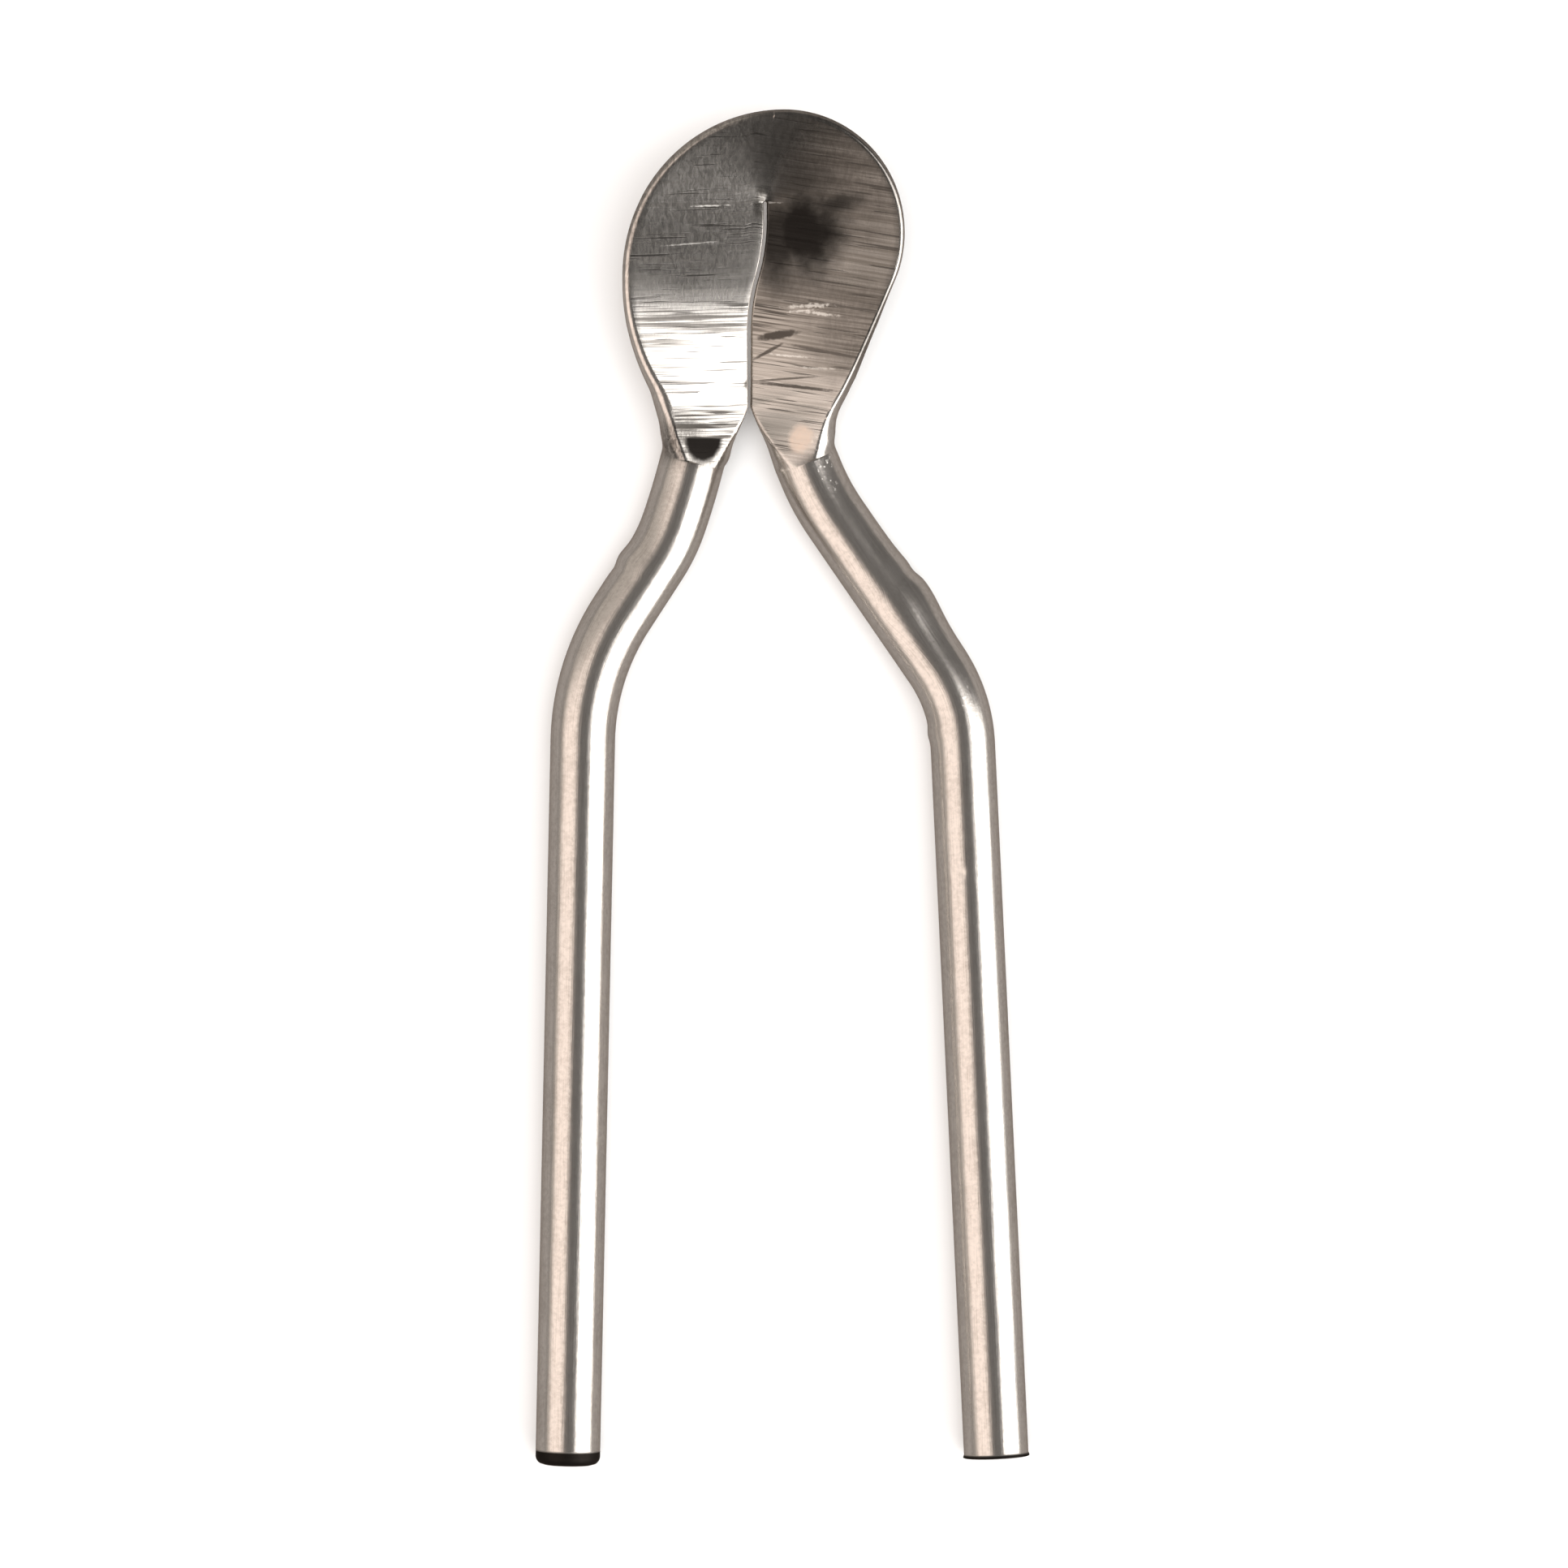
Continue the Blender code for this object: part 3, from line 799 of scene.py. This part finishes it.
def rolled_grid(name: str, rings: list[list[Vector]], stops: list[float],
                caps: tuple[int, int]) -> bpy.types.Object:
    """Closed bar or plate from a flat grid that is rolled round a run of rings.

    Args:
        name: Name of the piece.
        rings: Rings of points, all with the same count.
        stops: Distance of each ring along the bar.
        caps: Rows that close the first and the last end.

    Returns:
        The piece, with a UV map in metres: round the bar, and along it.
    """
    first, last = rings[0], rings[-1]
    for rows, ring, front in ((caps[0], first, True), (caps[1], last, False)):
        middle = sum(ring, Vector((0.0, 0.0, 0.0))) / len(ring)
        lids = [[mix(point, middle, (row + 1) / rows) for point in ring] for row in range(rows)]
        if front:
            rings, stops = lids[::-1] + rings, [stops[0]] * rows + stops
        else:
            rings, stops = rings + lids, stops + [stops[-1]] * rows
    count = len(rings[0])
    bpy.ops.object.select_all(action="DESELECT")
    bpy.ops.mesh.primitive_grid_add(
        x_subdivisions=count, y_subdivisions=len(rings) - 1, size=1.0, calc_uvs=True)
    piece = bpy.context.object
    piece.name = piece.data.name = name
    mesh = piece.data
    points, places = [], []
    for ring, stop in zip(rings, stops):
        girth = 0.0
        for index in range(count + 1):
            points.extend(ring[index % count])
            places.append((girth, stop))
            girth += (ring[(index + 1) % count] - ring[index % count]).length
    mesh.vertices.foreach_set("co", points)
    flat = []
    for loop in mesh.loops:
        flat += places[loop.vertex_index]
    mesh.uv_layers.active.data.foreach_set("uv", flat)
    return piece


def close_up(piece: bpy.types.Object, material: bpy.types.Material) -> None:
    """Merge the seam and the poles, turn the faces outwards, smooth and dress the piece.

    Args:
        piece: Piece made by rolled_grid.
        material: Its material.
    """
    bpy.ops.object.select_all(action="DESELECT")
    piece.select_set(True)
    bpy.context.view_layer.objects.active = piece
    bpy.ops.object.mode_set(mode="EDIT")
    bpy.ops.mesh.select_all(action="SELECT")
    bpy.ops.mesh.remove_doubles(threshold=1e-7)
    bpy.ops.mesh.select_all(action="SELECT")
    bpy.ops.mesh.normals_make_consistent(inside=False)
    bpy.ops.mesh.select_all(action="DESELECT")
    bpy.ops.object.mode_set(mode="OBJECT")
    bpy.ops.object.shade_smooth_by_angle(angle=math.radians(38.0))
    piece.data.materials.clear()
    piece.data.materials.append(material)
    piece.select_set(False)


def carry_place(piece: bpy.types.Object, fulcrum: Vector) -> None:
    """Give a piece's points their place from the fulcrum at rest, which the material reads."""
    made = piece.data.attributes.new("place", "FLOAT_VECTOR", "POINT")
    made.data.foreach_set("vector", [
        value for vertex in piece.data.vertices for value in vertex.co - fulcrum])


def carry(piece: bpy.types.Object, name: str, values: list[float]) -> None:
    """Give a piece's points a number that the material reads."""
    made = piece.data.attributes.new(name, "FLOAT", "POINT")
    made.data.foreach_set("value", values)


def ease_stops(first: float, last: float, spacing: float, dense: float | None = None,
               reach: float = 0.0, finer: int = 1) -> list[float]:
    """Distances between two ends, finer round one place.

    Args:
        first: First distance.
        last: Last distance.
        spacing: Usual distance between stops.
        dense: Middle of the finer stretch.
        reach: Half of its length.
        finer: How many times finer it is.

    Returns:
        The distances in order.
    """
    stops, distance = [], first
    while distance < last - spacing / (2 * finer):
        stops.append(distance)
        near = bump((distance - dense) / reach) if dense is not None else 0.0
        distance += spacing / mix(1.0, finer, near)
    return stops + [last]


@dataclass
class PlatePiece:
    """One zone of the pressed plate."""

    name: str
    forging: Forging
    place: Matrix
    first: float
    last: float
    spacing: float = 0.22 * MM
    dense: float | None = None
    reach: float = 0.0
    finer: int = 1

    def build(self) -> bpy.types.Object:
        """Roll the grid round the sections of this zone."""
        stops = ease_stops(self.first, self.last, self.spacing, self.dense, self.reach,
                           self.finer)
        rings = [self.forging.section(stop) for stop in stops]
        caps = (3, 3)
        flats, dulls = [], []
        count = self.forging.ring.count
        full = [stops[0]] * caps[0] + stops + [stops[-1]] * caps[1]
        for row, stop in enumerate(full):
            lid = row < caps[0] or row >= len(full) - caps[1]
            ring = rings[min(max(row - caps[0], 0), len(rings) - 1)]
            for index in range(count + 1):
                flat = 0.0 if lid else self.forging.is_flat(index % count, stop)
                flats.append(flat)
                dulls.append(self.dull(ring[index % count]))
        moved = [[self.place @ point for point in ring] for ring in rings]
        piece = rolled_grid(self.name, moved, stops, caps)
        carry(piece, "flat", flats)
        carry(piece, "blackening", [0.0] * len(flats))
        carry(piece, "dull", dulls)
        return piece

    def dull(self, point: Vector) -> float:
        """How much the pressed face is darkened and roughened: right of the slit, more towards the
        top.
        """
        slit = self.forging.slit_middle(point.y)
        side = smooth((point.x - slit + 0.2 * MM) / (0.4 * MM + max(point.y - 23.0 * MM, 0.0)))
        return side * mix(0.3, 1.0, smooth((point.y + 3.0 * MM) / (12.0 * MM)))


@dataclass
class Handle:
    """An arm and its leg: the round bar from under the plate to its sawn end."""

    side: Side
    forging: Forging
    place: Matrix
    moves: list[Move]
    marks: tuple[Mark, ...]
    end_round: float
    end_burr: float
    end_dark: float
    points: int = 72
    spacing: float = 0.5 * MM

    @property
    def name(self) -> str:
        """Name of the piece."""
        return f"{self.side.value}_handle_bar"

    def build(self) -> bpy.types.Object:
        """Roll the grid round the bar."""
        top, heading = self.forging.arms[self.side]
        moves = self.moves
        if self.side is Side.LEFT:
            heading += math.pi
        else:
            moves = [Move(move.straight, -move.turn, move.radius) for move in moves]
        run = Run(top, heading, moves)
        rounding = max(self.end_round, 0.3 * MM)
        stops = ease_stops(0.0, run.length, self.spacing, run.length - rounding, rounding, 5)
        rings, end_darkening = [], []
        for stop in stops:
            point, way = run.at(stop)
            near_end = max(stop - (run.length - self.end_round), 0.0)
            drop = self.end_round - math.sqrt(max(self.end_round ** 2 - near_end ** 2, 0.0))
            flare = self.end_burr * smooth((stop - run.length + 0.5 * MM) / (0.4 * MM))
            ring = []
            for index in range(self.points):
                angle = 360.0 * index / self.points
                radius = self.forging.bar_radius - drop + flare
                radius += sum(mark.height(stop, angle) for mark in self.marks)
                turn = math.radians(angle)
                flat = point - radius * math.sin(turn) * across(way)
                ring.append(self.place @ Vector((*flat, radius * math.cos(turn))))
            rings.append(ring)
            dark = smooth((stop - run.length + self.end_dark) / (0.25 * MM))
            end_darkening += [dark] * (self.points + 1)
        caps = (3, 5)
        piece = rolled_grid(self.name, rings, stops, caps)
        width = self.points + 1
        blank = [0.0] * (width * (len(stops) + sum(caps)))
        carry(piece, "flat", blank)
        carry(piece, "dull", blank)
        carry(piece, "blackening", [0.0] * (caps[0] * width) + end_darkening + [0.7] * (caps[1] * width))
        return piece


@dataclass(frozen=True)
class Panel:
    """Soft rectangle of light in the studio's dome; angles in degrees from straight up."""

    tilt_x: tuple[float, float]
    tilt_y: tuple[float, float]
    soft_x: float
    soft_y: float
    colour: tuple


@dataclass
class Studio:
    """Floor, dome, lamp and camera."""

    look_at: tuple[float, float] = (0.25 * MM, 0.85 * MM)
    view_width: float = 194.1 * MM
    camera_height: float = 1.0
    plane: float = 4.0 * MM
    floor_radius: float = 3.0
    panels: tuple[Panel, ...] = (
        Panel((-84.0, -20.0), (-38.0, 62.0), 10.0, 10.0, tone(0.62, 0.57, 0.52)),
        Panel((-70.0, -19.0), (-50.0, 12.0), 9.0, 7.0, tone(1.55, 1.36, 1.25)),
        Panel((28.5, 88.0), (-50.0, 12.0), 4.5, 5.0, tone(3.2, 3.15, 3.1)),
    )
    dome: tuple = tone(0.19, 0.183, 0.177)
    far_side: tuple = tone(0.24, 0.23, 0.22)
    near_side: tuple = tone(0.15, 0.142, 0.135)
    below: tuple = tone(0.50, 0.465, 0.44)
    far_tilt: tuple[float, float] = (55.0, 70.0)
    near_tilt: tuple[float, float] = (25.0, 60.0)
    horizon: tuple[float, float] = (-0.02, 0.05)
    floor_drop: float = 0.02 * MM
    lamp_size: float = 1.6
    lamp_height: float = 1.4
    lamp_power: float = 20.0
    backdrop: tuple = tone(0.95, 0.95, 0.95)

    def build(self) -> None:
        """Make the whole studio."""
        self.add_floor()
        self.add_dome()
        self.add_lamp()
        self.add_camera()

    def add_floor(self) -> None:
        """Plain pale floor; the steel does not mirror it but the dome's colour below the horizon."""
        bpy.ops.object.select_all(action="DESELECT")
        bpy.ops.mesh.primitive_circle_add(
            vertices=96, radius=self.floor_radius, fill_type="NGON", location=(0, 0, -self.floor_drop))
        floor = bpy.context.object
        floor.name = "floor"
        made = bpy.data.materials.new("pale_floor")
        made.use_nodes = True
        graph = Graph(made.node_tree)
        shader = graph.node("ShaderNodeBsdfPrincipled", {}, {
            "Base Color": tone(0.86, 0.86, 0.86), "Roughness": 0.9,
            "Specular IOR Level": 0.0})
        graph.node("ShaderNodeOutputMaterial", {}, {0: shader.outputs[0]})
        floor.data.materials.append(made)
        floor.visible_glossy = False

    def add_dome(self) -> None:
        """Dim dome with three soft panels, which light the steel; behind the tool the camera sees
        a plain backdrop instead."""
        world = bpy.data.worlds.new("studio")
        bpy.context.scene.world = world
        world.use_nodes = True
        graph = Graph(world.node_tree)
        way = graph.node("ShaderNodeTexCoord").outputs["Generated"]
        parts = graph.node("ShaderNodeSeparateXYZ", {}, {0: way}).outputs
        x, y, z = (Number(graph, part) for part in parts)
        tilt_x = x.math("ARCTAN2", z) * math.degrees(1.0)
        tilt_y = y.math("ARCSINE") * math.degrees(1.0)
        colour = graph.blend(tilt_y.ramp(*self.far_tilt), self.dome, self.far_side)
        colour = graph.blend((0.0 - tilt_y).ramp(*self.near_tilt), colour, self.near_side)
        for panel in self.panels:
            share = (self.within(tilt_x, panel.tilt_x, panel.soft_x)
                     * self.within(tilt_y, panel.tilt_y, panel.soft_y))
            colour = graph.blend(share, colour, panel.colour)
        colour = graph.blend((0.0 - z).ramp(*self.horizon), colour, self.below)
        seen = graph.number("ShaderNodeLightPath", output="Is Camera Ray")
        colour = graph.blend(seen, colour, self.backdrop)
        light = graph.node("ShaderNodeBackground", {}, {0: colour, 1: 1.0})
        graph.node("ShaderNodeOutputWorld", {}, {0: light.outputs[0]})

    def within(self, tilt: Number, span: tuple[float, float], soft: float) -> Number:
        """Share that is 1 between two tilts and fades over soft edges."""
        low, high = span
        return tilt.ramp(low - soft, low + soft) * (1.0 - tilt.ramp(high - soft, high + soft))

    def add_lamp(self) -> None:
        """Large overhead lamp that lights the floor; the steel does not mirror it."""
        lamp = bpy.data.lights.new("overhead", "AREA")
        lamp.shape, lamp.size, lamp.energy = "DISK", self.lamp_size, self.lamp_power
        item = bpy.data.objects.new("overhead", lamp)
        item.location = (0.0, 0.0, self.lamp_height)
        item.visible_glossy = False
        item.visible_camera = False
        bpy.context.scene.collection.objects.link(item)

    def add_camera(self) -> None:
        """Camera straight above."""
        lens = bpy.data.cameras.new("camera")
        lens.sensor_width = 36.0
        lens.lens = lens.sensor_width * self.camera_height / self.view_width
        lens.clip_start, lens.clip_end = 0.01, 10.0
        camera = bpy.data.objects.new("camera", lens)
        camera.location = (*self.look_at, self.camera_height + self.plane)
        bpy.context.scene.collection.objects.link(camera)
        bpy.context.scene.camera = camera
        bpy.context.scene.view_settings.view_transform = "Standard"


class Hood:
    """Two leaves and the crown that springs between them."""

    blend_band = (-2.42 * MM, -1.78 * MM)

    def __init__(self, forging: Forging, place: Matrix, steel: bpy.types.Material) -> None:
        """Keep what the pieces share.

        Args:
            forging: The pressed plate.
            place: From the tool's plane to the frame.
            steel: Material.
        """
        self.forging, self.place, self.steel = forging, place, steel

    def leaf(self, side: Side) -> bpy.types.Object:
        """Build one leaf on its limb."""
        ends = (0.0, self.forging.left_flank)
        if side is Side.RIGHT:
            ends = (self.forging.right_flank, self.forging.length)
        piece = PlatePiece(f"{side.value}_leaf_plate", self.forging, self.place, *ends).build()
        close_up(piece, self.steel)
        carry_place(piece, self.place.translation)
        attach(piece, f"{side.value}_limb")
        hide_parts(f"{side.value}_leaf")
        return piece

    def crown(self) -> bpy.types.Object:
        """Build the crown, with finer stations round the middle of its bending band; on the real tool
        it opens as the limbs are squeezed.
        """
        forging = self.forging
        middle = self.band_middle()
        piece = PlatePiece("crown_plate", forging, self.place, forging.left_flank,
                           forging.right_flank, 0.22 * MM, middle, 0.9 * MM, 8).build()
        close_up(piece, self.steel)
        carry_place(piece, self.place.translation)
        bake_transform(piece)
        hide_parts("hood_spring")
        return piece

    def band_middle(self) -> float:
        """Distance along the rim at which it crosses the middle of the bending band."""
        target = sum(self.blend_band) / 2 - self.place.translation.x
        low, high = self.forging.left_flank, self.forging.right_flank
        for _ in range(40):
            middle = (low + high) / 2
            if self.forging.rim.at(middle)[0].x < target:
                low = middle
            else:
                high = middle
        return middle


class Limbs:
    """Both handles of the bar."""

    left_moves = [Move(0.0, 4.0, 90.0 * MM), Move(0.0, 14.0, 22.8 * MM),
                  Move(7.4 * MM, -31.8, 30.0 * MM), Move(89.7 * MM)]
    right_moves = [Move(0.0, 12.0, 29.5 * MM), Move(22.0 * MM, -31.8, 19.0 * MM),
                   Move(88.3 * MM)]
    left_marks = (Mark(13.5 * MM, -80.0, 1.6 * MM, 40.0, 0.25 * MM),
                  Mark(14.9 * MM, -75.0, 0.9 * MM, 35.0, -0.20 * MM))
    right_marks = (Mark(19.5 * MM, 85.0, 4.5 * MM, 55.0, 0.75 * MM),
                   Mark(17.0 * MM, 85.0, 1.0 * MM, 40.0, -0.25 * MM),
                   Mark(37.0 * MM, -88.0, 1.2 * MM, 40.0, 0.22 * MM),
                   Mark(42.8 * MM, -62.0, 0.35 * MM, 8.0, -0.12 * MM),
                   Mark(54.5 * MM, -15.0, 0.35 * MM, 6.0, -0.12 * MM))

    def __init__(self, forging: Forging, place: Matrix, steel: bpy.types.Material) -> None:
        """Keep what the pieces share.

        Args:
            forging: The pressed plate.
            place: From the tool's plane to the frame.
            steel: Material.
        """
        self.forging, self.place, self.steel = forging, place, steel

    def build(self, side: Side) -> bpy.types.Object:
        """Build one handle on its limb."""
        if side is Side.LEFT:
            handle = Handle(side, self.forging, self.place, self.left_moves, self.left_marks,
                            1.1 * MM, 0.0, 1.9 * MM)
        else:
            handle = Handle(side, self.forging, self.place, self.right_moves,
                            self.right_marks, 0.12 * MM, 0.13 * MM, 0.55 * MM)
        piece = handle.build()
        close_up(piece, self.steel)
        carry_place(piece, self.place.translation)
        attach(piece, f"{side.value}_limb")
        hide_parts(f"{side.value}_handle")
        return piece


def tool_place(joint: dict) -> Matrix:
    """From the tool's plane, with the fulcrum as its origin, to the frame.

    Args:
        joint: The squeeze joint of the record.

    Returns:
        The matrix.
    """
    right, up = Vector((1.0, 0.0, 0.0)), -Vector(joint["axis"]).normalized()
    along = up.cross(right).normalized()
    turn = Matrix((right, along, up)).transposed().to_4x4()
    return Matrix.Translation(Vector(joint["pos_m"])) @ turn


def report(piece: bpy.types.Object) -> None:
    """Log a piece's size."""
    size = [round(1000.0 * value, 2) for value in piece.dimensions]
    LOG.info("%s: %s mm, %d faces", piece.name, size, len(piece.data.polygons))


def main() -> None:
    """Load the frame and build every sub-assembly."""
    logging.basicConfig(level=logging.INFO, format="%(message)s")
    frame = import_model()
    place = tool_place(frame["joints"][0])
    forging = Forging()
    steel = BarSteel().material()
    Studio().build()
    hood, limbs = Hood(forging, place, steel), Limbs(forging, place, steel)
    for side in Side:
        report(hood.leaf(side))
        report(limbs.build(side))
    report(hood.crown())


if __name__ == "__main__":
    main()
